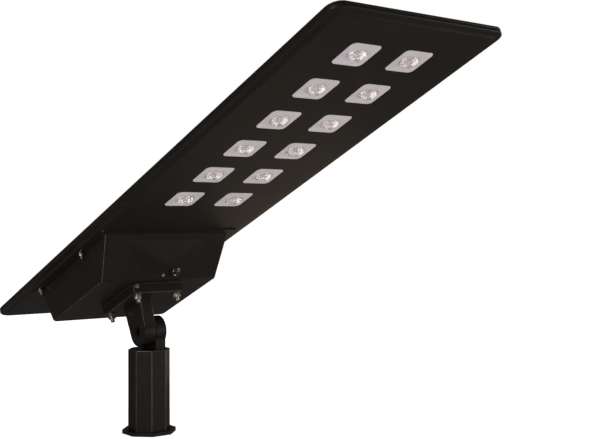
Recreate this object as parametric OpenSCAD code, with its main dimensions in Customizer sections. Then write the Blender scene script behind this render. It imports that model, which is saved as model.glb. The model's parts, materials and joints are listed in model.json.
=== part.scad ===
// Solar street lamp: a long flat head with a solar panel on top and twelve lenses below,
// a battery box under its rear half, and a tilting bracket on an octagonal pole sleeve.
// Origin: centre of the sleeve's mouth. +Z is up the pole, and the lamp reaches out along -Y.

/* [Head] */
// Width of the head
panel_w = 320; // [310:1:400]
// Length of the head from tip to rear edge
panel_l = 1143; // [1120:1:1300]
// Radius of the head's two corners at the tip, in plan
tip_r = 20; // [15:1:45]
// Radius of the head's two rear corners, in plan
rear_r = 32; // [15:1:45]
// Height of the pan's side wall above its lip
wall_h = 6; // [6:0.1:8]
// Thickness of the pan's sheet
sheet_t = 1.5; // [1.2:0.1:2]
// Width of the flat lip around the pan
lip_w = 9; // [7:0.5:10]
// Width of the bevel between the lip and the pan's floor
bevel_w = 8; // [4:0.5:8]
// Depth of the pan's floor below its lip
floor_drop = 3; // [2.5:0.1:4]
// Tilt of the head above level
tilt = 23.7; // [10:0.1:40]

/* [Top frame and solar panel] */
// Height of the top frame above the pan's wall
frame_h = 3.5; // [3:0.1:6]
// Width of the top frame's rim
frame_w = 12; // [9:0.5:18]
// Thickness of the solar glass
glass_t = 3.2; // [2.5:0.1:3.5]
// Thickness of one solar cell
cell_t = 0.4; // [0.3:0.1:0.5]
// Thickness of the backsheet
backsheet_t = 0.5; // [0.4:0.1:0.6]
// Rows of solar cells along the head
cell_rows = 14; // [10:1:16]
// Columns of solar cells across the head
cell_cols = 4; // [3:1:5]

/* [Lenses] */
// Side of one square lens pad
pad_w = 54; // [40:1:60]
// Corner radius of a lens pad
pad_r = 8; // [4:1:12]
// Lens pitch across the head
pitch_x = 99; // [80:1:110]
// Lens pitch along the head
pitch_y = 94; // [80:1:100]
// Distance of the first lens row from the tip
first_row = 94.5; // [80:0.5:110]
// Rows of lenses
lens_rows = 6; // [4:1:6]
// Diameter of a lens dome
dome_d = 26; // [18:1:30]
// Height of a lens dome below its pad
dome_h = 8; // [5:0.5:9]
// Width of a lens's hidden edge behind the pan
lens_edge = 4; // [3:0.5:6]

/* [Battery box] */
// Gap between the pan's bevel and the box's flange
flange_gap = 0.5; // [0.2:0.1:2]
// Width of the flange beside the box's foot
flange_w = 13.5; // [13:0.5:15]
// Distance of the box's studs from the flange's side edge
stud_edge = 6.5; // [6:0.1:7]
// Narrowing of the box on each side, from its foot to its lower face
box_taper = 9; // [5:0.5:12]
// Distance of the box's front foot from the tip
box_front = 705; // [690:1:720]
// Distance of the lower face's front edge from the tip
face_front = 768; // [755:1:780]
// Length of the lower face
face_l = 216; // [200:1:250]
// Depth of the box below the pan's lip
box_drop = 70.5; // [65:0.5:90]
// Wall thickness of the box
box_wall = 2.5; // [2:0.1:3.2]
// Radius of the box's rear lower edge
box_edge_r = 7; // [4:0.5:12]
// Rise of the nose on the box's front slope
nose_h = 6; // [3:0.5:8]

/* [Tilting bracket] */
// Distance of the tilt axis from the tip
pivot_v = 846; // [835:1:860]
// Depth of the tilt axis below the pan's lip
pivot_drop = 142.3; // [138:0.1:160]
// Distance of the middle of the bracket's base from the tip
base_v = 845; // [840:1:850]
// Stud spacing across the head
stud_x = 82; // [76:1:90]
// Stud spacing along the head
stud_y = 105; // [100:1:120]
// Margin from a bracket stud to the base's edge
base_margin = 12; // [11:0.5:15]
// Height of the bracket's base
base_h = 18.5; // [14:0.5:22]
// Thickness of the bracket's arm
arm_t = 23; // [20:0.5:26]
// Radius of the arm's round end
arm_r = 27.5; // [24:0.5:30]
// Diameter of the pivot bolt
pivot_d = 12; // [10:0.5:12]

/* [Pole sleeve] */
// Diameter of the socket for the pole
socket_d = 61; // [60:0.1:61.5]
// Wall of the sleeve at its flats
sleeve_wall = 5.5; // [5:0.25:12]
// Height of the sleeve
sleeve_h = 155; // [140:1:190]
// Thickness of the sleeve's closed top
cap_t = 6; // [4:0.5:8]
// Overhang of the foot flange beyond the sleeve's flats
foot_rim = 10; // [7:1:19]
// Thickness of the foot flange
foot_t = 7; // [5:0.5:9]
// Height of the tilt axis above the sleeve's top
pivot_rise = 32.5; // [31:0.5:45]
// Radius of the sleeve's lug
lug_r = 27.5; // [23:0.5:29]
// Thickness of the sleeve's lug
lug_t = 20.5; // [19:0.5:24]
// Diameter of a set screw
grub_d = 8; // [6:0.5:10]

/* [Battery] */
// Diameter of one battery cell
battery_d = 32; // [26:0.5:33]
// Length of one battery cell
battery_l = 70; // [65:0.5:71]
// Height of the cells above the box's floor
cell_rise = 15; // [14.2:0.1:18]

/* [Hidden] */
SIDES = ["left", "right"];
LENS_NODES = [for (s = SIDES) for (i = [1:lens_rows]) str(s, "_lens_", i)];

slack = 0.05;               // radial clearance of a shaft in its hole
body_gap = 0.3;             // gap between faces that move past each other
fit_gap = 0.3;              // clearance around a piece dropped into an opening
pocket_gap = 0.2;           // clearance around a lens pad, a battery or a nut in its pocket
gasket_t = 1;
seal_t = 0.8;
inner_floor = sheet_t - floor_drop;          // inner face of the pan's floor
glass_recess = 0.7;                          // depth of the glass below the top frame
glass_top = wall_h + frame_h - glass_recess;
cells_top = glass_top - glass_t;
cells_low = cells_top - cell_t;
back_low = cells_low - backsheet_t;
cell_gap = 2;                                // gap between neighbouring solar cells
glass_inset = 4;
pivot_z = sleeve_h + pivot_rise;

edge_t = 1.5;                                // thickness of a lens's hidden edge
lens_seal_t = 0.5;
board_t = 1.6;
board_low = inner_floor + lens_seal_t + edge_t;
board_half_w = 34;
board_end = 35;                              // length of a board past its last lens's centre
screw_x = 24;                                // offset of a board screw from its lens column
screw_r = 1.5;
screw_boss_r = 3.5;
chip_w = 7;
chip_t = 0.8;
well_d = 16;

flange_t = 1.5;
flange_x = panel_w / 2 - lip_w - bevel_w - flange_gap;
box_stud_x = flange_x - stud_edge;
box_foot_x = flange_x - flange_w;
box_face_x = box_foot_x - box_taper;
box_top = -floor_drop - seal_t;              // upper face of the box's flange
rear_foot_gap = 8;
face_rear = face_front + face_l;
box_rear = face_rear + rear_foot_gap;
flange_front = box_front - 12;
flange_rear = box_rear + 16;
box_studs_v = [face_front + 24, face_rear - 10];
box_stud_r = 2.5;
box_stud_head_r = 4.5;
box_stud_head_t = 2;
box_stud_out = 12;                           // length of a box stud below the flange
box_nut_af = 8;
box_nut_t = 5;
box_washer_r = 5;
box_washer_t = 1;

base_top = -box_drop - gasket_t;
base_low = base_top - base_h;
stud_r = 4;
stud_head_r = 8;
stud_head_t = 4;
stud_out = 15;                               // length of a bracket stud below the base
bracket_nut_af = 13;
bracket_nut_t = 6.5;
bracket_washer_r = 8;
bracket_washer_t = 1.6;
friction_t = 1;
lug_x0 = friction_t / 2;
lug_x1 = lug_x0 + lug_t;
arm_x1 = -friction_t / 2 - body_gap;
arm_x0 = arm_x1 - arm_t;
pivot_head_r = 9;
pivot_head_t = 8;
nut_af = 18;
nut_t = 8;

sleeve_af = socket_d + 2 * sleeve_wall;      // width across the flats
foot_af = sleeve_af + 2 * foot_rim;
grub_l = sleeve_wall - 0.5;
grub_z = 78;

slope_run = face_front - box_front;
slope_rise = box_drop + box_top;
slope_l = sqrt(slope_run * slope_run + slope_rise * slope_rise);
slope_angle = atan2(slope_rise, slope_run);
nose_half_w = [72, 81, 39];                   // foot, widest place and top of the nose
nose_s = [14, 24, slope_l - 16];             // their distances down the slope
nose_apex_s = 61;

switch_x = 27;
switch_s = slope_l - 15.75;                  // distance of the switch down the slope
light_x = 3;
light_s = slope_l - 8.75;
switch_r = 6;
switch_bezel_r = 9;
switch_boss_h = 3;
switch_hole_r = 4;
switch_travel = 2.5;

light_r = 2;

earth_r = 2;
earth_x = -46;
earth_l = 8;                                 // length of the earth screw in the base

cells_v0 = face_front + 34;
cells_z = box_wall - box_drop + cell_rise + battery_d / 2;
battery_pitch_x = battery_d + 1;
battery_pitch_y = battery_l + 6;
battery_cols = 4;
holder_t = 5;
strip_t = 0.3;

// Frame of the head: x across, y from the tip to the rear, z up out of the solar panel.
module head() {
    translate([0, 0, pivot_z]) rotate([-tilt, 0, 0]) translate([0, -pivot_v, pivot_drop]) children();
}

// Frame of the box's front slope: y runs down its outer face from the foot, z points out of it.
module slope() {
    translate([0, box_front, box_top]) rotate([-slope_angle, 0, 0]) mirror([0, 0, 1]) children();
}

// Flat rounded rectangle centred on x, running from y0 to y1.
module plate2d(half_w, y0, y1, r) {
    translate([-half_w + r, y0]) square([2 * (half_w - r), y1 - y0]);
    translate([-half_w, y0 + r]) square([2 * half_w, y1 - y0 - 2 * r]);
    for (x = [-half_w + r, half_w - r], y = [y0 + r, y1 - r]) translate([x, y]) circle(r = r, $fn = 32);
}

module plate(half_w, y0, y1, r, z0, z1) {
    translate([0, 0, z0]) linear_extrude(z1 - z0) plate2d(half_w, y0, y1, r);
}

// Outline of the head moved inwards by d: a tip half and a rear half, which overlap at the middle.
module head_plate(d, z0, z1) {
    half_w = panel_w / 2 - d;
    translate([0, 0, z0]) linear_extrude(z1 - z0) {
        plate2d(half_w, d, panel_l / 2 + tip_r, max(tip_r - d, 3));
        plate2d(half_w, panel_l / 2 - rear_r, panel_l - d, max(rear_r - d, 3));
    }
}

module rod(r, z0, z1) {
    translate([0, 0, z0]) cylinder(r = r, h = z1 - z0, $fn = 48);
}

module hex(af, z0, z1) {
    translate([0, 0, z0]) cylinder(d = af / cos(30), h = z1 - z0, $fn = 6);
}

module pad2d(w, r) {
    translate([0, -w / 2]) plate2d(w / 2, 0, w, r);
}

module at_lens(side, row) {
    x = side == "left" ? -pitch_x / 2 : pitch_x / 2;
    translate([x, first_row + (row - 1) * pitch_y, 0]) children();
}

module at_lenses() {
    for (s = SIDES, row = [1:lens_rows]) at_lens(s, row) children();
}

module at_bracket_studs() {
    for (x = [-1, 1], y = [-1, 1]) translate([x * stud_x / 2, base_v + y * stud_y / 2, 0]) children();
}

module at_box_studs() {
    for (x = [-box_stud_x, box_stud_x], v = box_studs_v) translate([x, v, 0]) children();
}

module at_board_screws() {
    for (s = SIDES, row = [1:lens_rows - 1], x = [-screw_x, screw_x]) at_lens(s, row)
        translate([x, pitch_y / 2, 0]) children();
}

module at_grub(i) {
    rotate([0, 0, 45 + 90 * i]) translate([0, 0, grub_z]) rotate([0, 90, 0]) children();
}

// Round lead with eight sides, swept along its points. No stretch runs along lead_ref.
lead_ref = [1, -1, 0.35];
function unit(a) = a / norm(a);
function lead_dir(pts, i) = unit(pts[min(i + 1, len(pts) - 1)] - pts[max(i - 1, 0)]);
function lead_ring(p, dir, r) =
    let (a = unit(cross(dir, lead_ref)), b = cross(dir, a))
    [for (k = [0:7]) p + r * (cos(45 * k) * a + sin(45 * k) * b)];

module lead(pts, d) {
    n = len(pts);
    rings = [for (i = [0:n - 1]) lead_ring(pts[i], lead_dir(pts, i), d / 2)];
    sides = [for (i = [0:n - 2], k = [0:7]) let (a = 8 * i + k, b = 8 * i + (k + 1) % 8)
        each [[a, b, b + 8], [a, b + 8, a + 8]]];
    ends = [[for (k = [7:-1:0]) k], [for (k = [0:7]) 8 * (n - 1) + k]];
    polyhedron([for (ring = rings) each ring], concat(sides, ends));
}

// ---- Pole sleeve and its screws

module octagon(af, z0, z1) {
    translate([0, 0, z0]) rotate([0, 0, 22.5]) cylinder(d = af / cos(22.5), h = z1 - z0, $fn = 8);
}

module pole_sleeve() {
    neck = lug_r - 4;
    color([0.09, 0.08, 0.08]) difference() {
        union() {
            octagon(sleeve_af, 0, sleeve_h);
            octagon(foot_af, 0, foot_t);
            translate([lug_x0, -neck, sleeve_h - 1]) cube([lug_t, 2 * neck, pivot_rise + 1]);
            translate([lug_x0, 0, pivot_z]) rotate([0, 90, 0]) rod(lug_r, 0, lug_t);
        }
        rod(socket_d / 2, -1, sleeve_h - cap_t);
        for (i = [0:3]) at_grub(i) rod(grub_d / 2, socket_d / 2 - 4, foot_af / 2);
        translate([0, 0, pivot_z]) rotate([0, 90, 0]) {
            rod(pivot_d / 2 + slack, 0, lug_x1 + 1);
            hex(nut_af + 2 * pocket_gap, lug_x1 - nut_t - 2, lug_x1 + 1);
        }
    }
}

module set_screw(i) {
    r0 = socket_d / 2 + 0.3;
    color([0.16, 0.16, 0.17]) at_grub(i) difference() {
        rod(grub_d / 2 - slack, r0, r0 + grub_l);
        hex(grub_d / 2, r0 + grub_l - 2.5, r0 + grub_l + 1);
    }
}

// ---- Tilt pivot

module pivot_frame() {
    translate([0, 0, pivot_z]) rotate([0, 90, 0]) children();
}

// Inner face of the counterbore in the arm, where the bolt's head sits.
head_seat = arm_x0 + pivot_head_t + 1;

module pivot_bolt() {
    color([0.13, 0.13, 0.14]) pivot_frame() difference() {
        union() {
            rod(pivot_head_r, head_seat - body_gap - pivot_head_t, head_seat - body_gap);
            rod(pivot_d / 2, head_seat - body_gap - 1, lug_x1);
        }
        hex(pivot_d - 2, head_seat - pivot_head_t - 1, head_seat - body_gap - 3);
    }
}

module pivot_nut() {
    color([0.5, 0.5, 0.5]) pivot_frame() difference() {
        hex(nut_af, lug_x1 - nut_t, lug_x1);
        rod(pivot_d / 2 + slack, lug_x1 - nut_t - 1, lug_x1 + 1);
    }
}

module pivot_spring_washer() {
    color([0.6, 0.6, 0.6]) pivot_frame() difference() {
        rod(nut_af / 2, lug_x1 - nut_t - 2, lug_x1 - nut_t);
        rod(pivot_d / 2 + slack, lug_x1 - nut_t - 3, lug_x1);
        translate([0, -0.6, lug_x1 - nut_t - 3]) cube([20, 1.2, 4]);
    }
}

module friction_disc() {
    color([0.25, 0.2, 0.16]) pivot_frame() difference() {
        rod(lug_r - 3, -friction_t / 2, friction_t / 2);
        rod(pivot_d / 2 + slack, -friction_t, friction_t);
    }
}

module tilt_bracket() {
    color([0.09, 0.08, 0.08]) head() difference() {
        union() {
            plate(stud_x / 2 + base_margin, base_v - stud_y / 2 - base_margin,
                base_v + stud_y / 2 + base_margin, 6, base_low, base_top);
            translate([arm_x0, 0, 0]) rotate([90, 0, 90]) linear_extrude(arm_t) {
                translate([pivot_v, -pivot_drop]) circle(r = arm_r, $fn = 64);
                polygon([[pivot_v - arm_r, -pivot_drop], [pivot_v + arm_r, -pivot_drop],
                    [pivot_v + arm_r + 5, base_low + 1], [pivot_v - arm_r - 5, base_low + 1]]);
            }
        }
        // Weight-saving pockets in the base's upper face.
        for (x = [-1, 1]) translate([x * 16, base_v, 0])
            plate(11, -stud_y / 2 + 14, stud_y / 2 - 14, 4, base_low + 6, base_top + 1);
        at_bracket_studs() rod(stud_r + slack, base_low - 1, base_top + 1);
        earth_place() rod(earth_r + slack, -1, earth_l + 0.4);
        translate([0, pivot_v, -pivot_drop]) rotate([0, 90, 0]) {
            rod(pivot_d / 2 + slack, arm_x0 - 1, 1);
            rod(pivot_head_r + 0.5, arm_x0 - 1, head_seat);
        }
    }
}

// Axis of the earth screw in the base's front face; z runs into the base.
module earth_place() {
    translate([earth_x, base_v - stud_y / 2 - base_margin, base_top - 6]) rotate([-90, 0, 0]) children();
}

module earth_screw() {
    color([0.8, 0.8, 0.8]) head() earth_place() {
        rod(earth_r, -1, earth_l);
        rod(4, -3.5, 0);
    }
}

module bracket_gasket() {
    color([0.12, 0.12, 0.12]) head() difference() {
        plate(stud_x / 2 + base_margin - 1, base_v - stud_y / 2 - base_margin + 1,
            base_v + stud_y / 2 + base_margin - 1, 5, base_top, -box_drop);
        at_bracket_studs() rod(stud_r + slack, base_top - 1, 1 - box_drop);
    }
}

module bracket_studs() {
    color([0.75, 0.75, 0.76]) head() at_bracket_studs() {
        rod(stud_r, base_low - stud_out, box_wall - box_drop + 1);
        rod(stud_head_r, box_wall - box_drop, box_wall - box_drop + stud_head_t);
    }
}

module bracket_washers() {
    color([0.8, 0.8, 0.8]) head() at_bracket_studs() difference() {
        rod(bracket_washer_r, base_low - bracket_washer_t, base_low);
        rod(stud_r + slack, base_low - 3, base_low + 1);
    }
}

module bracket_nuts() {
    color([0.78, 0.78, 0.78]) head() at_bracket_studs() difference() {
        hex(bracket_nut_af, base_low - bracket_washer_t - bracket_nut_t, base_low - bracket_washer_t);
        rod(stud_r + slack, base_low - bracket_washer_t - bracket_nut_t - 1, base_low);
    }
}

// ---- Battery box

// Tapered body of the box, moved inwards by d.
module box_block(d, z_face) {
    low = z_face == 0 ? -box_drop : -box_drop + d;
    edge_r = box_edge_r - d;
    hull() {
        plate(box_foot_x - d, box_front + d * 1.5, box_rear - d, 8,
            box_top - 0.01, box_top + (d > 0 ? 3 : 0));
        plate(box_face_x - d, face_front + d * 0.6, face_rear - box_edge_r, 6, low, low + 0.01);
        for (side = [-1, 1])
            translate([side * (box_face_x - box_edge_r), face_rear - box_edge_r, low + edge_r])
                sphere(r = edge_r, $fn = 32);
    }
}

module battery_box() {
    color([0.09, 0.08, 0.08]) head() difference() {
        union() {
            box_block(0, 0);
            plate(flange_x, flange_front, flange_rear, 10, box_top - flange_t, box_top);
            // Faceted nose on the front slope.
            slope() hull() {
                linear_extrude(0.2) for (side = [-1, 1])
                    polygon([for (i = [0:2]) [side * nose_half_w[i], nose_s[i]]]);
                translate([0, nose_apex_s, nose_h - 0.5]) cylinder(r = 0.5, h = 0.5, $fn = 8);
            }
            slope() translate([switch_x, switch_s, 0]) rod(switch_bezel_r + 1, 0, switch_boss_h);
        }
        box_block(box_wall, 1);
        at_bracket_studs() rod(stud_r + slack, -box_drop - 1, -box_drop + box_wall + 1);
        at_box_studs() rod(box_stud_r + slack, box_top - flange_t - 1, box_top + 1);
        slope() translate([switch_x, switch_s, 0]) rod(switch_r + slack, -9, 9);
        slope() translate([light_x, light_s, 0]) rod(light_r + slack, -9, 9);
    }
}

module box_gasket() {
    color([0.12, 0.12, 0.12]) head() difference() {
        plate(flange_x - 1, flange_front + 1, flange_rear - 1, 9, box_top, -floor_drop);
        plate(box_foot_x - 3, box_front + 5, box_rear - 3, 8, box_top - 1, 0);
        at_box_studs() rod(box_stud_r + slack, box_top - 1, 0);
    }
}

module box_studs() {
    color([0.75, 0.75, 0.76]) head() at_box_studs() {
        rod(box_stud_r, box_top - flange_t - box_stud_out, inner_floor + 1);
        rod(box_stud_head_r, inner_floor, inner_floor + box_stud_head_t);
    }
}

module box_washers() {
    color([0.8, 0.8, 0.8]) head() at_box_studs() difference() {
        rod(box_washer_r, box_top - flange_t - box_washer_t, box_top - flange_t);
        rod(box_stud_r + slack, box_top - flange_t - 2, box_top);
    }
}

module box_nuts() {
    color([0.78, 0.78, 0.78]) head() at_box_studs() difference() {
        hex(box_nut_af, box_top - flange_t - box_washer_t - box_nut_t, box_top - flange_t - box_washer_t);
        rod(box_stud_r + slack, box_top - flange_t - box_washer_t - box_nut_t - 1, box_top);
    }
}

// ---- Switch and status light on the front slope

module at_switch() {
    head() slope() translate([switch_x, switch_s, 0]) children();
}

module switch_body() {
    color([0.7, 0.7, 0.7]) at_switch() difference() {
        union() {
            rod(switch_bezel_r, switch_boss_h, switch_boss_h + 2.5);
            rod(switch_r, -18, switch_boss_h + 1);
        }
        rod(switch_hole_r + slack, switch_boss_h - 1 - 2 * switch_travel, switch_boss_h + 3);
    }
}

module switch_button() {
    color([0.62, 0.62, 0.63]) at_switch()
        rod(switch_hole_r, switch_boss_h - switch_travel, switch_boss_h + 2.5 + switch_travel);
}

module switch_nut() {
    color([0.6, 0.6, 0.6]) at_switch() difference() {
        hex(17, -6.5, -3);
        rod(switch_r + slack, -8, 0);
    }
}

module status_light() {
    color([0.5, 0.5, 0.52]) head() slope() translate([light_x, light_s, 0]) {
        rod(light_r, -7, 1);
        rod(light_r + 1, 0, 1.2);
    }
}

// ---- Pan, top frame and solar panel

module lamp_pan() {
    color([0.1, 0.09, 0.08]) head() difference() {
        union() {
            head_plate(0, 0, wall_h);
            hull() {
                head_plate(lip_w, -0.01, 0.5);
                head_plate(lip_w + bevel_w, -floor_drop, 0.5);
            }
            at_board_screws() rod(screw_boss_r, inner_floor - 0.5, board_low);
        }
        difference() {
            union() {
                head_plate(sheet_t, sheet_t, wall_h + 1);
                head_plate(lip_w + bevel_w, inner_floor, wall_h);
            }
            at_board_screws() rod(screw_boss_r, inner_floor - 0.5, board_low);
        }
        at_lenses() translate([0, 0, -floor_drop - 1])
            linear_extrude(4) pad2d(pad_w + 2 * pocket_gap, pad_r);
        at_box_studs() rod(box_stud_r + slack, -floor_drop - 1, inner_floor + 1);
        at_board_screws() rod(screw_r + slack, inner_floor - 0.8, board_low + 1);
        at_grommet() rod(grommet_r, -floor_drop - 1, inner_floor + 1);
    }
}

module top_frame() {
    color([0.1, 0.1, 0.1]) head() difference() {
        union() {
            head_plate(0, wall_h, wall_h + frame_h);
            head_plate(sheet_t + fit_gap, back_low - 1, wall_h + 1);
        }
        head_plate(frame_w, 0, wall_h + frame_h + 1);
        head_plate(glass_inset, back_low, glass_top);
    }
}

module solar_glass() {
    color([0.1, 0.12, 0.2, 0.4]) head() head_plate(glass_inset + fit_gap, cells_top, glass_top);
}

module solar_cells() {
    edge = frame_w + 4;
    x_span = panel_w - 2 * edge;
    px = x_span / cell_cols;
    py = (panel_l - 2 * edge) / cell_rows;
    color([0.04, 0.05, 0.12]) head() for (i = [0:cell_cols - 1], k = [0:cell_rows - 1])
        translate([i * px - (x_span - cell_gap) / 2, edge + k * py + cell_gap / 2, cells_low])
            cube([px - cell_gap, py - cell_gap, cell_t]);
}

module backsheet() {
    color([0.9, 0.9, 0.9]) head() head_plate(glass_inset + fit_gap, back_low, cells_low);
}

module junction_box() {
    color([0.1, 0.1, 0.1]) head() translate([-36, 0, 0]) plate(26, 622, 652, 3, back_low - 4.2, back_low);
}

// ---- Lenses and LED boards

module lens(side, row) {
    dome_r = (dome_d * dome_d / 4 + dome_h * dome_h) / (2 * dome_h);
    color([0.72, 0.7, 0.74]) head() at_lens(side, row) difference() {
        union() {
            translate([0, 0, -floor_drop])
                linear_extrude(floor_drop + board_low - edge_t) pad2d(pad_w, pad_r);
            translate([0, 0, board_low - edge_t])
                linear_extrude(edge_t) pad2d(pad_w + 2 * lens_edge, pad_r + 2);
            intersection() {
                translate([0, 0, dome_r - dome_h - floor_drop]) sphere(r = dome_r, $fn = 48);
                translate([-dome_d, -dome_d, -floor_drop - dome_h - 1])
                    cube([2 * dome_d, 2 * dome_d, dome_h + 1.1]);
            }
        }
        rod(well_d / 2, board_low - chip_t - 1, board_low + 1);
    }
}

module lens_gaskets() {
    color([0.2, 0.2, 0.2]) head() at_lenses() translate([0, 0, inner_floor]) linear_extrude(lens_seal_t)
        difference() {
            pad2d(pad_w + 2 * lens_edge, pad_r + 2);
            pad2d(pad_w + 2 * pocket_gap, pad_r);
        }
}

module led_board(side) {
    x0 = (side == "left" ? -1 : 1) * pitch_x / 2;
    last = first_row + (lens_rows - 1) * pitch_y;
    color([0.85, 0.85, 0.82]) head() difference() {
        translate([x0, 0, 0])
            plate(board_half_w, first_row - board_end, last + board_end, 3, board_low, board_low + board_t);
        at_board_screws() rod(screw_r + slack, board_low - 1, board_low + board_t + 1);
    }
}

module led_chips() {
    color([0.95, 0.85, 0.3]) head() at_lenses() translate([-chip_w / 2, -chip_w / 2, board_low - chip_t])
        cube([chip_w, chip_w, chip_t]);
}

module board_screws() {
    color([0.7, 0.7, 0.7]) head() at_board_screws() {
        rod(screw_r, inner_floor - 0.6, board_low + board_t + 0.5);
        rod(2.8, board_low + board_t, board_low + board_t + 1.5);
    }
}

// ---- Battery, controller and leads inside the box

// Top of the cell holders, where the battery board rests.
pack_top = cells_z + battery_d / 2 + 1.1;

module at_batteries() {
    for (i = [0:battery_cols - 1], k = [0:1])
        translate([(i - (battery_cols - 1) / 2) * battery_pitch_x, cells_v0 + k * battery_pitch_y, cells_z])
            rotate([-90, 0, 0]) children();
}

module battery_cells() {
    color([0.2, 0.4, 0.7]) head() at_batteries() {
        rod(battery_d / 2, 0.5, battery_l - 1);
        rod(battery_d / 4, 0, battery_l);
    }
}

module cell_holders() {
    floor_z = -box_drop + box_wall;
    color([0.15, 0.15, 0.15]) head() difference() {
        for (k = [0:1], end = [6, battery_l - 8 - holder_t])
            translate([-pack_half, cells_v0 + k * battery_pitch_y + end, floor_z])
                cube([2 * pack_half, holder_t, pack_top - floor_z]);
        at_batteries() rod(battery_d / 2 + slack, -5, battery_l + 5);
        at_bracket_studs() rod(stud_head_r + 1, floor_z - 1, floor_z + stud_head_t + 1);
    }
}

module nickel_strips() {
    w = battery_pitch_x + 12;
    color([0.75, 0.75, 0.72]) head() for (k = [0:1], end = [-strip_t, battery_l], x = [-1, 1])
        translate([x * battery_pitch_x - w / 2, cells_v0 + k * battery_pitch_y + end, cells_z - 4])
            cube([w, strip_t, 8]);
}

module battery_straps() {
    half = battery_cols * battery_pitch_x / 2 + 0.2;
    color([0.05, 0.05, 0.05]) head() for (k = [0:1])
        translate([0, cells_v0 + k * battery_pitch_y + battery_l / 2 + 6, cells_z]) rotate([90, 0, 0])
            linear_extrude(12) difference() {
                square([2 * half + 1.6, battery_d + 2], center = true);
                square([2 * half, battery_d + 2 * pocket_gap], center = true);
            }
}

module battery_board() {
    color([0.1, 0.35, 0.2]) head()
        plate(45, cells_v0 + 24, cells_v0 + 122, 3, pack_top, pack_top + board_t);
}

pack_half = battery_cols * battery_pitch_x / 2 + 3;
controller_x = pack_half + 7;
controller_w = 36;
controller_h = 28;
block_h = 11;                                // height of the terminal block
controller_v = face_front + 60;
block_top = box_wall - box_drop + controller_h + block_h;

// Centre of terminal k, at height z.
function terminal(k, z) = [controller_x + 18, controller_v + 64 + 8 * k, z];

module charge_controller() {
    color([0.12, 0.12, 0.13]) head() translate([controller_x, controller_v, box_wall - box_drop])
        cube([controller_w, 120, controller_h]);
}

module terminal_block() {
    color([0.2, 0.45, 0.25]) head() difference() {
        translate([controller_x + 6, controller_v + 60, box_wall - box_drop + controller_h])
            cube([24, 48, block_h]);
        for (k = [0:4]) translate(terminal(k, 0)) rod(2, block_top - 7, block_top + 1);
    }
}

grommet_v = 738;
grommet_r = 8;

module at_grommet() {
    translate([0, grommet_v, 0]) children();
}

module cable_grommet() {
    color([0.05, 0.05, 0.05]) head() at_grommet() difference() {
        union() {
            rod(grommet_r, -floor_drop, inner_floor);
            rod(grommet_r + 2.5, inner_floor, inner_floor + 1.5);
            rod(grommet_r + 2.5, -floor_drop - 1.5, -floor_drop);
        }
        rod(grommet_r - 3, -floor_drop - 3, inner_floor + 3);
    }
}

lead_d = 2.2;
run_z = (block_top - floor_drop) / 2;        // the leads run midway between pan and terminals

// Lead k goes down through the grommet at x and across the box to terminal k.
function lead_route(x, k) = [
    [x, 708, 1.5], [x, 724, 1.5], [x, grommet_v - 6, 1.3], [x, grommet_v - 2, 0.4], [x, grommet_v, -2],
    [x, grommet_v + 0.5, -5.5], [x, 741, -10 - 4 * k], [x + 6, 748, run_z + 2 - 4 * k],
    [x + 30, 764, run_z - 4 * k], [x + 66, 778, run_z - 4 * k], [x + 88, 798, run_z - 4 * k],
    [controller_x + 20 - 5 * k, 840, run_z - 4 * k], terminal(k, run_z - 1 - 4 * k) + [-5 * k, -12, 0],
    terminal(k, run_z - 2 - 4 * k) + [-5 * k, -3, 0],
    terminal(k, block_top + 2), terminal(k, block_top - 4)];

module lamp_lead() {
    board_top = board_low + board_t;
    color([0.7, 0.7, 0.7]) head() lead(concat([[20, 592, board_top + 1.2], [19, 600, board_top + 1.2],
        [14, 630, 1.5], [6, 670, 1.5]], lead_route(2.2, 0)), lead_d);
}

module solar_lead() {
    color([0.6, 0.1, 0.1]) head() lead(concat([[-14, 652.5, 1.8], [-11, 662, 1.6], [-6, 684, 1.5]],
        lead_route(-2.2, 1)), lead_d);
}

module battery_lead() {
    z0 = pack_top + board_t + 1.2;
    under_pan = -floor_drop - lead_d;
    color([0.6, 0.1, 0.1]) head() lead([[30, cells_v0 + 100, z0],
        [40, cells_v0 + 102, min(z0 + 0.5, under_pan)],
        [58, cells_v0 + 104, min(z0 + 1.5, under_pan)], [76, cells_v0 + 105, min(z0 + 1, under_pan)],
        [88, cells_v0 + 106, min(z0 - 2, under_pan)],
        terminal(2, block_top + 3), terminal(2, block_top - 4)], lead_d);
}

pole_sleeve();
for (i = [1:4]) set_screw(i + 1);
pivot_bolt();
pivot_nut();
pivot_spring_washer();
friction_disc();
tilt_bracket();
earth_screw();
bracket_gasket();
bracket_studs();
bracket_nuts();
bracket_washers();
battery_box();
box_gasket();
box_studs();
box_nuts();
box_washers();
lamp_pan();
top_frame();
solar_glass();
solar_cells();
backsheet();
junction_box();
led_board("left");  // left_led_board
led_board("right");  // right_led_board
led_chips();
lens_gaskets();
board_screws();
battery_cells();
cell_holders();
nickel_strips();
battery_board();
battery_straps();
charge_controller();
terminal_block();
cable_grommet();
switch_body();
switch_nut();
switch_button();
status_light();
solar_lead();
lamp_lead();
battery_lead();
for (side = SIDES, row = [1:lens_rows])
    lens(side, row);
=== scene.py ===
"""Solar street lamp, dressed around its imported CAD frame.

Lengths are in metres. Head pieces are built in the head's own frame: x across the head, y from the tip
to the rear edge, z up out of the solar panel, with z = 0 on the pan's lip.
"""
import math

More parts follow.
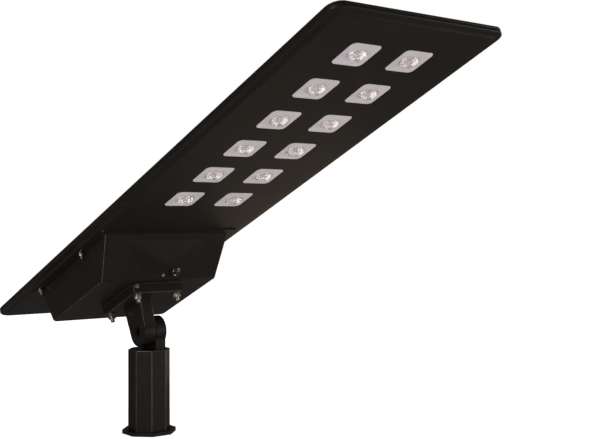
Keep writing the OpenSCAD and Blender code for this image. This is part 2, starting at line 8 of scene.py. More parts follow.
import bmesh
import bpy
import numpy as np
from mathutils import Matrix, Vector
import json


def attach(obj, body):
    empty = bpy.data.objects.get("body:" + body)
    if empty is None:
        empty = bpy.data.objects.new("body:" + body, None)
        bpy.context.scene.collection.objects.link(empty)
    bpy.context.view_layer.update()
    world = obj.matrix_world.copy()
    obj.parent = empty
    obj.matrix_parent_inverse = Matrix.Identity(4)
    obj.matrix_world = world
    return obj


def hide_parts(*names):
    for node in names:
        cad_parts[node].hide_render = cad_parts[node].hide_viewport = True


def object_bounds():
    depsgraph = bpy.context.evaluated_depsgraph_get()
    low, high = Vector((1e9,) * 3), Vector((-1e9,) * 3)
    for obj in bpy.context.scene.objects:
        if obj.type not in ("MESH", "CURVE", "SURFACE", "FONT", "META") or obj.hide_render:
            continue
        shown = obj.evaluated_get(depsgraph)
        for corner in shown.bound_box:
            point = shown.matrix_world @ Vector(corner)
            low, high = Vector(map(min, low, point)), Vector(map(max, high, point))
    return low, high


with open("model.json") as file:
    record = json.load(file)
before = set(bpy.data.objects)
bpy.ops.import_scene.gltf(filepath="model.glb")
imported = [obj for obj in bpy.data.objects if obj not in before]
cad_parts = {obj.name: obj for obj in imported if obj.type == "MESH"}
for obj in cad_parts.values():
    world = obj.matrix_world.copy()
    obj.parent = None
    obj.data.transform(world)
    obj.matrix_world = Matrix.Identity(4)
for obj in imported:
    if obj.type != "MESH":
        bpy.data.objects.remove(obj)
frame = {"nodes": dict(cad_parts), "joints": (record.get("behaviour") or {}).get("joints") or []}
cad_low, cad_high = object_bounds()

MM = 0.001
ROWS = range(1, 7)
SIDES = ("left", "right")
LENS_NODES = [f"{side}_lens_{row}" for side in SIDES for row in ROWS]

# Sizes of the pan, its corners and its lenses that the CAD fixes
WALL_H = 6 * MM
SHEET_T = 1.5 * MM
LIP_W = 9 * MM
BEVEL_W = 8 * MM
TIP_R = 20 * MM
REAR_R = 32 * MM
LEAST_R = 3 * MM
PAD_HALF = 27 * MM
PAD_R = 8 * MM
DOME_LONG = 15 * MM
DOME_SHORT = 12 * MM


# ---- The head's frame, worked out from the CAD nodes

def node_points(name):
    ob = frame["nodes"][name]
    return np.array([ob.matrix_world @ v.co for v in ob.data.vertices])


def head_matrix():
    glass = node_points("solar_glass")
    spread = np.linalg.svd(glass - glass.mean(0), full_matrices=False)[2]
    along = spread[0] if spread[0][1] > 0 else -spread[0]
    across = np.array([1.0, 0.0, 0.0])
    up = np.cross(across, along)
    turn = np.array([across, along, up])
    pan = node_points("lamp_pan") @ turn.T
    low, high = pan.min(0), pan.max(0)
    origin = turn.T @ np.array([(low[0] + high[0]) / 2, low[1], high[2] - WALL_H])
    matrix = Matrix(turn.T.tolist()).to_4x4()
    matrix.translation = Vector(origin)
    return matrix


HEAD = head_matrix()
TO_HEAD = HEAD.inverted()


def head_box(name):
    """Lowest and highest corner of a CAD node in the head's frame."""
    points = node_points(name)
    local = points @ np.array(TO_HEAD.to_3x3()).T + np.array(TO_HEAD.translation)
    return local.min(0), local.max(0)


pan_low, pan_high = head_box("lamp_pan")
HALF_W = (pan_high[0] - pan_low[0]) / 2
LENGTH = pan_high[1]
FLOOR_Z = pan_low[2]


# ---- Materials

def shader(name, color, rough, metal=0.0, specular=0.5):
    mat = bpy.data.materials.new(name)
    mat.use_nodes = True
    bsdf = mat.node_tree.nodes["Principled BSDF"]
    bsdf.inputs["Base Color"].default_value = (*color, 1)
    bsdf.inputs["Roughness"].default_value = rough
    bsdf.inputs["Metallic"].default_value = metal
    bsdf.inputs["Specular IOR Level"].default_value = specular
    return mat, bsdf


def add(mat, kind, **values):
    node = mat.node_tree.nodes.new(kind)
    for key, value in values.items():
        if key in node.inputs:
            node.inputs[key].default_value = value
        else:
            setattr(node, key, value)
    return node


def join(mat, out, into):
    mat.node_tree.links.new(out, into)


def noise(mat, scale, detail=3.0):
    coords = add(mat, "ShaderNodeTexCoord")
    tex = add(mat, "ShaderNodeTexNoise", Scale=scale, Detail=detail)
    join(mat, coords.outputs["Object"], tex.inputs["Vector"])
    return tex.outputs["Fac"]


def spread(mat, fac, low, high):
    """Maps 0..1 to low..high."""
    node = add(mat, "ShaderNodeMapRange")
    node.inputs["To Min"].default_value = low
    node.inputs["To Max"].default_value = high
    join(mat, fac, node.inputs["Value"])
    return node.outputs["Result"]


def blend_colors(mat, fac, first, second):
    node = add(mat, "ShaderNodeMix", data_type="RGBA")
    node.inputs[6].default_value = (*first, 1)
    node.inputs[7].default_value = (*second, 1)
    join(mat, fac, node.inputs[0])
    return node.outputs[2]


def bump(mat, bsdf, height, strength, distance):
    node = add(mat, "ShaderNodeBump", Strength=strength, Distance=distance)
    join(mat, height, node.inputs["Height"])
    join(mat, node.outputs["Normal"], bsdf.inputs["Normal"])


def powder_coat(name, dark, light, rough, specular):
    """Satin black paint with fine orange peel and a slow drift of colour and gloss."""
    mat, bsdf = shader(name, dark, rough, specular=specular)
    cloud = noise(mat, 9, 4)
    join(mat, blend_colors(mat, cloud, dark, light), bsdf.inputs["Base Color"])
    join(mat, spread(mat, cloud, rough - 0.06, rough + 0.08), bsdf.inputs["Roughness"])
    bump(mat, bsdf, noise(mat, 1400, 2), 0.22, 0.00012)
    return mat


def painted_edge_highlight():
    """The same paint on corners and folds, shinier, and lighter in colour as a painted highlight, lighter
    still in patches.
    """
    mat, bsdf = shader("painted_edge_highlight", (0.02, 0.018, 0.016), 0.3, specular=0.5)
    patches = spread(mat, noise(mat, 160, 5), -1.2, 2.2)
    tint = blend_colors(mat, patches, (0.011, 0.0095, 0.008), (0.032, 0.029, 0.026))
    join(mat, tint, bsdf.inputs["Base Color"])
    join(mat, spread(mat, noise(mat, 60, 3), 0.24, 0.4), bsdf.inputs["Roughness"])
    bump(mat, bsdf, noise(mat, 1400, 2), 0.2, 0.0001)
    return mat


def painted_crease_highlight():
    """Lighter grey paint along the box's corner folds: a painted highlight, lighter in patches."""
    mat, bsdf = shader("painted_crease_highlight", (0.05, 0.045, 0.04), 0.34, specular=0.5)
    patches = spread(mat, noise(mat, 120, 5), -0.5, 1.6)
    tint = blend_colors(mat, patches, (0.022, 0.02, 0.018), (0.055, 0.05, 0.046))
    join(mat, tint, bsdf.inputs["Base Color"])
    bump(mat, bsdf, noise(mat, 1400, 2), 0.2, 0.0001)
    return mat


def plated_steel(name="zinc_plate", color=(0.6, 0.575, 0.55), rough=0.27):
    mat, bsdf = shader(name, color, rough, metal=1.0)
    cloud = noise(mat, 260, 4)
    tint = blend_colors(mat, cloud, [c * 0.8 for c in color], color)
    join(mat, tint, bsdf.inputs["Base Color"])
    join(mat, spread(mat, cloud, rough - 0.08, rough + 0.14), bsdf.inputs["Roughness"])
    bump(mat, bsdf, noise(mat, 1900, 2), 0.15, 0.00008)
    return mat


def moulded(name, color, rough, grain=900, specular=0.35, depth=0.00008):
    mat, bsdf = shader(name, color, rough, specular=specular)
    cloud = noise(mat, 60, 4)
    tint = blend_colors(mat, cloud, [c * 0.82 for c in color], [min(1, c * 1.12) for c in color])
    join(mat, tint, bsdf.inputs["Base Color"])
    join(mat, spread(mat, cloud, rough - 0.06, rough + 0.08), bsdf.inputs["Roughness"])
    bump(mat, bsdf, noise(mat, grain, 2), 0.2, depth)
    return mat


def frosted_lens():
    """Grey translucent polycarbonate with a faint lilac cast and a fine frosted face."""
    mat, bsdf = shader("frosted_lens", (0.335, 0.31, 0.33), 0.42, specular=0.4)
    cloud = noise(mat, 70, 3)
    tint = blend_colors(mat, cloud, (0.305, 0.286, 0.302), (0.365, 0.334, 0.356))
    join(mat, tint, bsdf.inputs["Base Color"])
    bsdf.inputs["Subsurface Weight"].default_value = 0.25
    bsdf.inputs["Subsurface Radius"].default_value = (0.002, 0.002, 0.002)
    join(mat, spread(mat, cloud, 0.34, 0.5), bsdf.inputs["Roughness"])
    bump(mat, bsdf, noise(mat, 1600, 3), 0.25, 0.0001)
    return mat


def clear_plastic():
    mat, bsdf = shader("clear_dome", (0.8, 0.76, 0.78), 0.05)
    bsdf.inputs["Transmission Weight"].default_value = 0.75
    bsdf.inputs["IOR"].default_value = 1.49
    join(mat, spread(mat, noise(mat, 120, 2), 0.03, 0.08), bsdf.inputs["Roughness"])
    bump(mat, bsdf, noise(mat, 400, 2), 0.06, 0.0001)
    return mat


def tempered_glass():
    mat, bsdf = shader("tempered_glass", (0.93, 0.96, 0.95), 0.03)
    bsdf.inputs["Transmission Weight"].default_value = 1.0
    bsdf.inputs["IOR"].default_value = 1.5
    join(mat, spread(mat, noise(mat, 30, 3), 0.015, 0.06), bsdf.inputs["Roughness"])
    bump(mat, bsdf, noise(mat, 220, 2), 0.03, 0.00004)
    return mat


def silicon():
    """Mono silicon: deep blue, slow tint change, thin silver fingers across each cell."""
    mat, bsdf = shader("silicon", (0.008, 0.014, 0.045), 0.25, specular=0.6)
    coords = add(mat, "ShaderNodeTexCoord")
    wave = add(mat, "ShaderNodeTexWave", Scale=170.0)
    wave.bands_direction = "Y"
    join(mat, coords.outputs["Object"], wave.inputs["Vector"])
    lines = add(mat, "ShaderNodeMapRange")
    lines.inputs["From Min"].default_value = 0.93
    join(mat, wave.outputs["Fac"], lines.inputs["Value"])
    tint = blend_colors(mat, noise(mat, 14, 3), (0.006, 0.010, 0.032), (0.012, 0.022, 0.07))
    mix = add(mat, "ShaderNodeMix", data_type="RGBA")
    mix.inputs[7].default_value = (0.12, 0.14, 0.2, 1)
    join(mat, lines.outputs["Result"], mix.inputs[0])
    join(mat, tint, mix.inputs[6])
    join(mat, mix.outputs[2], bsdf.inputs["Base Color"])
    bump(mat, bsdf, noise(mat, 900, 2), 0.1, 0.00005)
    return mat


PAINT = powder_coat("powder_coat", (0.0045, 0.0038, 0.0028), (0.0085, 0.0068, 0.005), 0.4, 0.2)
# Lighter paint for bevelled corners and folds: a painted highlight.
EDGE_HIGHLIGHT_PAINT = painted_edge_highlight()
# Lighter grey paint for the box's folds and climbing corners: a painted highlight.
CREASE_HIGHLIGHT_PAINT = painted_crease_highlight()
ZINC = plated_steel()
BLACK_STEEL = plated_steel("black_oxide", (0.035, 0.035, 0.038), 0.38)
DARK_CHROME = plated_steel("dark_chrome", (0.2, 0.19, 0.185), 0.26)
RUBBER = moulded("black_rubber", (0.02, 0.02, 0.02), 0.7, 700)
BLACK_PLASTIC = moulded("black_plastic", (0.02, 0.02, 0.021), 0.45)
WHITE_BOARD = moulded("white_board", (0.75, 0.75, 0.72), 0.4)
GREEN_BOARD = moulded("green_board", (0.02, 0.16, 0.06), 0.35)
BACKSHEET = moulded("backsheet_film", (0.62, 0.64, 0.66), 0.5)
PHOSPHOR = moulded("led_phosphor", (0.5, 0.38, 0.16), 0.35)
SMOKED = moulded("smoked_lens", (0.1, 0.095, 0.095), 0.3)
FIBRE = moulded("pressed_fibre", (0.12, 0.085, 0.06), 0.85, 500, 0.2, 0.0002)
CELL_WRAP = moulded("cell_wrap", (0.03, 0.13, 0.36), 0.3, 300)
RED_JACKET = moulded("red_jacket", (0.34, 0.02, 0.015), 0.45)
GREY_JACKET = moulded("grey_jacket", (0.35, 0.35, 0.35), 0.45)
FROST = frosted_lens()
CLEAR = clear_plastic()
GLASS = tempered_glass()
SILICON = silicon()
NODE_PAINT = {
    PAINT: ["pole_sleeve", "tilt_bracket", "battery_box", "lamp_pan", "top_frame"],
    BLACK_STEEL: ["pivot_bolt", "set_screw_1", "set_screw_2", "set_screw_3", "set_screw_4"],
    ZINC: ["pivot_nut", "pivot_spring_washer", "bracket_studs", "bracket_nuts", "bracket_washers",
           "box_studs", "box_nuts", "box_washers", "board_screws", "earth_screw", "switch_nut",
           "nickel_strips"],
    DARK_CHROME: ["switch_body", "switch_button"],
    SMOKED: ["status_light"],
    FIBRE: ["friction_disc"],
    RUBBER: ["bracket_gasket", "box_gasket", "lens_gaskets", "cable_grommet"],
    GLASS: ["solar_glass"],
    SILICON: ["solar_cells"],
    BACKSHEET: ["backsheet"],
    BLACK_PLASTIC: ["junction_box", "cell_holders", "battery_straps", "charge_controller"],
    WHITE_BOARD: ["left_led_board", "right_led_board"],
    PHOSPHOR: ["led_chips"],
    FROST: LENS_NODES,
    CELL_WRAP: ["battery_cells"],
    GREEN_BOARD: ["battery_board", "terminal_block"],
    RED_JACKET: ["solar_lead", "battery_lead"],
    GREY_JACKET: ["lamp_lead"],
}
for material, names in NODE_PAINT.items():
    for node_name in names:
        data = frame["nodes"][node_name].data
        data.materials.clear()
        data.materials.append(material)


# ---- Mesh helpers

def make_piece(name, mesh, materials, place=HEAD, sharp=35):
    """Turns a bmesh into an object, with edges sharper than the given angle kept crisp."""
    bmesh.ops.recalc_face_normals(mesh, faces=mesh.faces)
    data = bpy.data.meshes.new(name)
    mesh.to_mesh(data)
    mesh.free()
    data.transform(place)
    for material in materials:
        data.materials.append(material)
    data.shade_smooth()
    data.set_sharp_from_angle(angle=math.radians(sharp))
    ob = bpy.data.objects.new(name, data)
    bpy.context.scene.collection.objects.link(ob)
    return ob


def stand_for(ob, body, slot, *nodes):
    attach(ob, body)
    if nodes:
        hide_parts(*nodes)


def rounded_rect(half_w, y0, y1, r0, r1, z, steps):
    """Closed loop of points round a rectangle with corner radius r0 at its y0 end and r1 at its y1 end."""
    loop = []
    corners = [(1, y0 + r0, r0, -90), (1, y1 - r1, r1, 0), (-1, y1 - r1, r1, 90), (-1, y0 + r0, r0, 180)]
    for side, y, r, start in corners:
        for k in range(steps + 1):
            a = math.radians(start + 90 * k / steps)
            loop.append((side * (half_w - r) + r * math.cos(a), y + r * math.sin(a), z))
    return loop


def inset_loop(d, z, steps=12):
    """The head's outline moved inwards by d, at height z."""
    tip_r, rear_r = max(TIP_R - d, LEAST_R), max(REAR_R - d, LEAST_R)
    return rounded_rect(HALF_W - d, d, LENGTH - d, tip_r, rear_r, z, steps)


def loft(mesh, loops, closed=False, caps=True):
    rings = [[mesh.verts.new(p) for p in loop] for loop in loops]
    pairs = list(zip(rings, rings[1:] + rings[:1] if closed else rings[1:]))
    for a, b in pairs:
        for k in range(len(a)):
            n = (k + 1) % len(a)
            mesh.faces.new((a[k], a[n], b[n], b[k]))
    if caps and not closed:
        mesh.faces.new(rings[0][::-1])
        mesh.faces.new(rings[-1])
    return rings


def circle(radius, z, steps):
    """Loop of points round the z axis at height z."""
    angles = [2 * math.pi * k / steps for k in range(steps)]
    return [(radius * math.cos(a), radius * math.sin(a), z) for a in angles]


def lathe(mesh, profile, steps):
    """Closed solid of revolution about z, from (radius, height) points."""
    loft(mesh, [circle(radius, height, steps) for radius, height in profile])


def cut(ob, cutter):
    """Takes the cutter's solids away from ob, and applies the result."""
    mod = ob.modifiers.new("cut", "BOOLEAN")
    mod.operation = "DIFFERENCE"
    mod.solver = "EXACT"
    mod.object = cutter
    graph = bpy.context.evaluated_depsgraph_get()
    data = bpy.data.meshes.new_from_object(ob.evaluated_get(graph))
    ob.modifiers.clear()
    ob.data = data
    bpy.data.objects.remove(cutter)


def even_normals(ob):
    """Keeps big flat faces flat beside small rounded edges."""
    mod = ob.modifiers.new("normals", "WEIGHTED_NORMAL")
    mod.keep_sharp = True
    mod.weight = 100


CORNER_STRIP = 4e-4          # largest area, in square metres, of one strip of a rounded corner


def fold_angle(edge):
    return math.degrees(edge.calc_face_angle()) if len(edge.link_faces) == 2 else 0


def round_edges(mesh, width, angles, min_area=0, segments=4, material=1, hollows=False):
    """Bevels the edges whose fold lies between two angles and whose faces are both large enough."""
    edges = [e for e in mesh.edges if angles[0] < fold_angle(e) < angles[1] and (e.is_convex or hollows)
             and min(f.calc_area() for f in e.link_faces) > min_area]
    bmesh.ops.bevel(mesh, geom=edges, offset=width, segments=segments, profile=0.5, affect="EDGES",
                    clamp_overlap=min_area == 0, material=material)


def paint_crease_highlights(mesh):
    """Gives the third material, the painted crease highlight, to the front folds and to the middle of each
    corner that climbs the box.
    """
    turn = TO_HEAD.to_3x3()
    for face in mesh.faces:
        longest = max(face.edges, key=lambda edge: edge.calc_length())
        line = turn @ (longest.verts[1].co - longest.verts[0].co)
        climbs = abs(line.z) > 0.08 * line.length
        mid_corner = 0.5 < abs((turn @ face.normal).x) < 0.72 and face.calc_area() < CORNER_STRIP
        if climbs and (face.material_index == 1 or mid_corner):
            face.material_index = 2


def refine(node, body, slot, width, materials=None, big=None, folds=None):
    """A copy of a CAD node with its flat faces merged and its edges rounded, which stands for it."""
    mesh = bmesh.new()
    mesh.from_mesh(frame["nodes"][node].data)
    bmesh.ops.remove_doubles(mesh, verts=mesh.verts, dist=2e-6)
    bmesh.ops.dissolve_limit(mesh, angle_limit=math.radians(1), verts=mesh.verts, edges=mesh.edges)
    # Bevels from big and folds take material 1, the lighter edge paint that is a painted highlight; the
    # last bevel keeps plain paint.
    if big:
        round_edges(mesh, big[0], (32, 180), big[1])
    if folds:
        round_edges(mesh, folds[0], (2, 30), folds[1], segments=2, hollows=True)
        paint_crease_highlights(mesh)
    round_edges(mesh, width, (32, 180), segments=3, material=0, hollows=True)
    ob = make_piece(f"{node}_rounded", mesh, materials or [PAINT, EDGE_HIGHLIGHT_PAINT, CREASE_HIGHLIGHT_PAINT], Matrix())
    even_normals(ob)
    stand_for(ob, body, slot, node)
    return ob


# ---- Pan, top frame and solar panel

def window_cutters():
    mesh = bmesh.new()
    for name in LENS_NODES:
        low, high = head_box(name)
        x, y = (low[0] + high[0]) / 2, (low[1] + high[1]) / 2
        half = PAD_HALF + 0.25 * MM
        loops = []
        for grow, z in ((1.1, FLOOR_Z - 2 * MM), (1.1, FLOOR_Z - 0.02 * MM), (0.35, FLOOR_Z + 0.3 * MM),
                        (0, FLOOR_Z + 0.8 * MM), (0, FLOOR_Z + 6 * MM)):
            d = half + grow * MM
            r = PAD_R + grow * MM
            loops.append([(x + px, py, z) for px, py, z in rounded_rect(d, y - d, y + d, r, r, z, 6)])
        loft(mesh, loops)
    return make_piece("window_cutters", mesh, [])


def build_pan():
    outer = [(SHEET_T, WALL_H - 0.1 * MM), (0.3 * MM, WALL_H - 0.1 * MM), (0, WALL_H - 0.5 * MM),
             (0, 1.6 * MM), (0.3 * MM, 0.8 * MM), (0.8 * MM, 0.3 * MM), (1.6 * MM, 0)]
    profile = outer + [(LIP_W - 1 * MM, 0)]
    steps = 8
    for k in range(steps + 1):
        t = k / steps
        drop = FLOOR_Z * (1 - math.cos(math.pi * t)) / 2
        profile.append((LIP_W + BEVEL_W * t, drop))
    profile.append((LIP_W + BEVEL_W + 1 * MM, FLOOR_Z))
    inner = [(LIP_W + BEVEL_W + 1 * MM, FLOOR_Z + SHEET_T), (LIP_W + BEVEL_W, FLOOR_Z + SHEET_T),
             (LIP_W, SHEET_T), (SHEET_T + 1 * MM, SHEET_T), (SHEET_T, SHEET_T + 1 * MM)]
    mesh = bmesh.new()
    outside = [inset_loop(d, z) for d, z in profile]
    inside = [inset_loop(d, z) for d, z in inner]
    rings = loft(mesh, outside + inside, caps=False)
    last = len(outside) - 1
    faces = [f for f in mesh.faces if set(f.verts) <= set(rings[last]) | set(rings[last + 1])]
    bmesh.ops.delete(mesh, geom=faces, context="FACES_ONLY")
    mesh.faces.new(rings[last])
    mesh.faces.new(rings[last + 1][::-1])
    for k in range(len(rings[0])):
        n = (k + 1) % len(rings[0])
        mesh.faces.new((rings[-1][k], rings[-1][n], rings[0][n], rings[0][k]))
    ob = make_piece("pressed_pan", mesh, [PAINT])
    cut(ob, window_cutters())
    even_normals(ob)
    stand_for(ob, "head", "black_paint", "lamp_pan")
    return ob


def build_top_frame():
    profile = [(0.4, 6.0), (0.05, 6.35), (0, 8.6), (0.25, 9.1), (0.6, 9.38), (1.2, 9.5), (11, 9.5),
               (11.7, 9.3), (12, 8.85), (4, 8.82), (4, 6.0)]
    mesh = bmesh.new()
    loft(mesh, [inset_loop(d * MM, z * MM) for d, z in profile], closed=True)
    ob = make_piece("rolled_frame", mesh, [PAINT])
    stand_for(ob, "head", "black_paint", "top_frame")


CELL_GAP = 2 * MM
RIBBON_HALF = 0.7 * MM
RIBBON_T = 0.06 * MM


def build_cells():
    """Cells with clipped corners, and the tinned ribbons that run along each string."""
    low, high = head_box("solar_cells")
    cols, rows = 4, 14
    px = (high[0] - low[0] + CELL_GAP) / cols
    py = (high[1] - low[1] + CELL_GAP) / rows
    top = high[2] - 2 * RIBBON_T
    clip = 6 * MM
    mesh = bmesh.new()
    for i in range(cols):
        for k in range(rows):
            x0, y0 = low[0] + i * px, low[1] + k * py
            x1, y1 = x0 + px - CELL_GAP, y0 + py - CELL_GAP
            corners = [(x0 + clip, y0), (x1 - clip, y0), (x1, y0 + clip), (x1, y1 - clip), (x1 - clip, y1),
                       (x0 + clip, y1), (x0, y1 - clip), (x0, y0 + clip)]
            loft(mesh, [[(x, y, z) for x, y in corners] for z in (low[2], top)])
    ob = make_piece("clipped_cells", mesh, [SILICON])
    stand_for(ob, "head", "solar_cell", "solar_cells")
    mesh = bmesh.new()
    for i in range(cols):
        for share in (0.2, 0.5, 0.8):
            x = low[0] + i * px + share * (px - CELL_GAP)
            left, right = x - RIBBON_HALF, x + RIBBON_HALF
            ribbon = [(left, low[1]), (right, low[1]), (right, high[1]), (left, high[1])]
            loft(mesh, [[(a, b, z) for a, b in ribbon] for z in (top, top + RIBBON_T)])
    ribbons = make_piece("cell_ribbons", mesh, [ZINC])
    stand_for(ribbons, "head", "nickel")


# ---- Lenses

def lens_angles():
    """Even steps round a lens, with extra ones through the pad's corners."""
    even = [5 * k for k in range(72)]
    start = math.degrees(math.atan2(PAD_HALF - PAD_R, PAD_HALF))
    corner = [start + (90 - 2 * start) * k / 6 for k in range(7)]
    turns = sorted(even + [90 * side + a for side in range(4) for a in corner])
    return [math.radians(a) for a in turns]


def pad_reach(angle, half, r):
    """Distance from a rounded square's centre to its edge."""
    c, s = abs(math.cos(angle)), abs(math.sin(angle))
    reach = half / max(c, s)
    inner = half - r
    if min(c, s) * reach <= inner:
        return reach
    middle = inner * (c + s)
    return middle + math.sqrt(middle * middle - 2 * inner * inner + r * r)


def dome_reach(angle):
    """Edge of the two-lobed dome: longer across the head, with a slight waist."""
    c, s = math.cos(angle), math.sin(angle)
    oval = DOME_LONG * DOME_SHORT / math.hypot(DOME_SHORT * c, DOME_LONG * s)
    return oval * (1 - 0.1 * s ** 6)


def dome_height(x, share, height):
    """Height of the dome at a share of its reach: two lobes with a cleft between them."""
    bowl = math.sqrt(max(0, 1 - share ** 2.6))
    cleft = 0.55 * math.exp(-(x / (0.17 * DOME_LONG)) ** 2) * (1 - 0.45 * share * share)
    return height * bowl * (1 - cleft)


def build_lens(name, angles):
    low, high = head_box(name)
    cx, cy = (low[0] + high[0]) / 2, (low[1] + high[1]) / 2
    dome_h = FLOOR_Z - low[2]
    face = FLOOR_Z + 0.1 * MM

    def ring(reach, z):
        return [(cx + reach(a) * math.cos(a), cy + reach(a) * math.sin(a), z) for a in angles]

    def pad_ring(d, z):
        return ring(lambda a: pad_reach(a, PAD_HALF - d, PAD_R - d), z)

    def seat_ring(d, z):
        return ring(lambda a: dome_reach(a) + d, z)

    mesh = bmesh.new()
    loft(mesh, [seat_ring(0, high[2]), pad_ring(0, high[2]), pad_ring(0, face + 0.5 * MM),
                pad_ring(0.15 * MM, face + 0.15 * MM), pad_ring(0.5 * MM, face), pad_ring(2 * MM, face),
                seat_ring(3.2 * MM, face), seat_ring(2.6 * MM, face + 0.1 * MM),
                seat_ring(2 * MM, face + 0.7 * MM), seat_ring(0, face + 0.8 * MM)], closed=True)
    pad_faces = len(mesh.faces)

    rings = 16
    dome = []
    for i in range(1, rings + 1):
        share = math.sin(math.pi / 2 * i / rings)
        spots = [(share * dome_reach(a) * math.cos(a), share * dome_reach(a) * math.sin(a)) for a in angles]
        dome.append([(cx + x, cy + y, face - dome_height(x, share, dome_h)) for x, y in spots])
    well_r, well_depth, back = 7.5 * MM, 4.5 * MM, face + 1.4 * MM
    dome.append(seat_ring(0, back))
    dome.append(ring(lambda a: well_r, back))
    for i in range(5, 0, -1):
        turn = math.pi / 2 * i / 6
        dome.append(ring(lambda a: well_r * math.sin(turn), back - well_depth * math.cos(turn)))
    loft(mesh, dome)
    for face_made in list(mesh.faces)[pad_faces:]:
        face_made.material_index = 1
    ob = make_piece(f"{name}_optic", mesh, [FROST, CLEAR], sharp=50)
    stand_for(ob, "head", "lens_clear", name)


# ---- Fasteners

THREAD_SIDES = 24


def thread_loops(radius, z0, z1, pitch, depth, steps, rows_per_turn=6):
    """Helical thread as loops of points from z0 up to z1."""
    count = max(2, int((z1 - z0) / pitch * rows_per_turn))
    loops = []
    for i in range(count + 1):
        z = z0 + (z1 - z0) * i / count
        loop = []
        for k in range(steps):
            turn = (z / pitch - k / steps) % 1.0
            r = radius - depth * abs(2 * turn - 1)
            a = 2 * math.pi * k / steps
            loop.append((r * math.cos(a), r * math.sin(a), z))
        loops.append(loop)
    return loops


def hex_radius(across, angle):
    return across / 2 / math.cos((angle + math.pi / 6) % (math.pi / 3) - math.pi / 6)


def nut_loops(across, bore, z0, z1, steps=48):
    """Hexagon nut with chamfered corners, round its bore."""
    tip = across / 2 * 1.155
    face = across / 2 * 0.95
    rise = (tip - face) * 0.6

    def hexagon(limit, z):
        loop = []
        for k in range(steps):
            a = 2 * math.pi * k / steps
            r = min(hex_radius(across, a), limit)
            loop.append((r * math.cos(a), r * math.sin(a), z))
        return loop

    between, part_rise = face + (tip - face) * 0.6, rise * 0.45
    body = [hexagon(face, z0), hexagon(between, z0 + part_rise), hexagon(tip, z0 + rise),
            hexagon(tip, z1 - rise), hexagon(between, z1 - part_rise), hexagon(face, z1)]
    sink = 0.4 * MM
    rims = [(bore + sink, z1), (bore, z1 - sink), (bore, z0 + sink), (bore + sink, z0)]
    return body + [circle(r, z, steps) for r, z in rims]


def washer_loops(outer, bore, z0, z1, steps=40):
    edge = (z1 - z0) * 0.3
    spots = [(bore, z0), (outer - edge, z0), (outer, z0 + edge),
             (outer, z1 - edge), (outer - edge, z1), (bore, z1)]
    return [circle(r, z, steps) for r, z in spots]


def shift(loops, x, y):
    return [[(px + x, py + y, pz) for px, py, pz in loop] for loop in loops]


def fastener_places(node):
    """Centres, in the head's frame, of the four fasteners that a node holds."""
    low, high = head_box(node)
    points = node_points(node) @ np.array(TO_HEAD.to_3x3()).T + np.array(TO_HEAD.translation)
    places = []
    for sx in (-1, 1):
        for back in (False, True):
            mid_y = (low[1] + high[1]) / 2
            near = points[(points[:, 0] * sx > 0) & ((points[:, 1] > mid_y) == back)]
            spot = (near.min(0) + near.max(0)) / 2
            places.append((spot[0], spot[1]))
    return places


def build_stud_set(prefix, radius, pitch, across, head_r, turn):
    """Threaded studs, chamfered nuts and washers on four places."""
    places = fastener_places(f"{prefix}_nuts")
    studs, nuts, washers = (head_box(f"{prefix}_{kind}") for kind in ("studs", "nuts", "washers"))
    end, top = studs[0][2], studs[1][2]
    neck = top - {"bracket": 4 * MM, "box": 2 * MM}[prefix]
    mesh = bmesh.new()
    for x, y in places:
        loops = [circle(radius * 0.72, end, THREAD_SIDES)]
        loops += thread_loops(radius, end + 0.7 * MM, neck, pitch, pitch * 0.42, THREAD_SIDES)
        for r, z in ((head_r, neck), (head_r, top - 1 * MM), (head_r - 1 * MM, top)):
            loops.append(circle(r, z, THREAD_SIDES))
        loft(mesh, shift(loops, x, y))
    ob = make_piece(f"{prefix}_threaded_studs", mesh, [ZINC], sharp=50)
    stand_for(ob, "head", "bright_steel", f"{prefix}_studs")
    mesh = bmesh.new()
    for i, (x, y) in enumerate(places):
        loops = nut_loops(across, radius + 0.02 * MM, nuts[0][2], nuts[1][2])
        spin = Matrix.Rotation(math.radians(turn * i), 3, "Z")
        loops = [[tuple(spin @ Vector(p)) for p in loop] for loop in loops]
        loft(mesh, shift(loops, x, y), closed=True)
    ob = make_piece(f"{prefix}_hex_nuts", mesh, [ZINC])
    stand_for(ob, "head", "bright_steel", f"{prefix}_nuts")
    mesh = bmesh.new()
    for x, y in places:
        outer = washers[1][0] - abs(x)
        loops = washer_loops(outer, radius + 0.1 * MM, washers[0][2], washers[1][2])
        loft(mesh, shift(loops, x, y), closed=True)
    ob = make_piece(f"{prefix}_flat_washers", mesh, [ZINC])
    stand_for(ob, "head", "bright_steel", f"{prefix}_washers")


# ---- Switch and status light

def axis_matrix(node, axis):
    """Frame with z along the axis, starting where the node starts, and the node's length on that axis."""
    axis = Vector(axis).normalized()
    points = node_points(node)
    middle = Vector((points.max(0) + points.min(0)) / 2)
    along = points @ np.array(axis)
    matrix = axis.to_track_quat("Z", "Y").to_matrix().to_4x4()
    matrix.translation = middle + axis * (along.min() - middle.dot(axis))
    return matrix, along.max() - along.min()


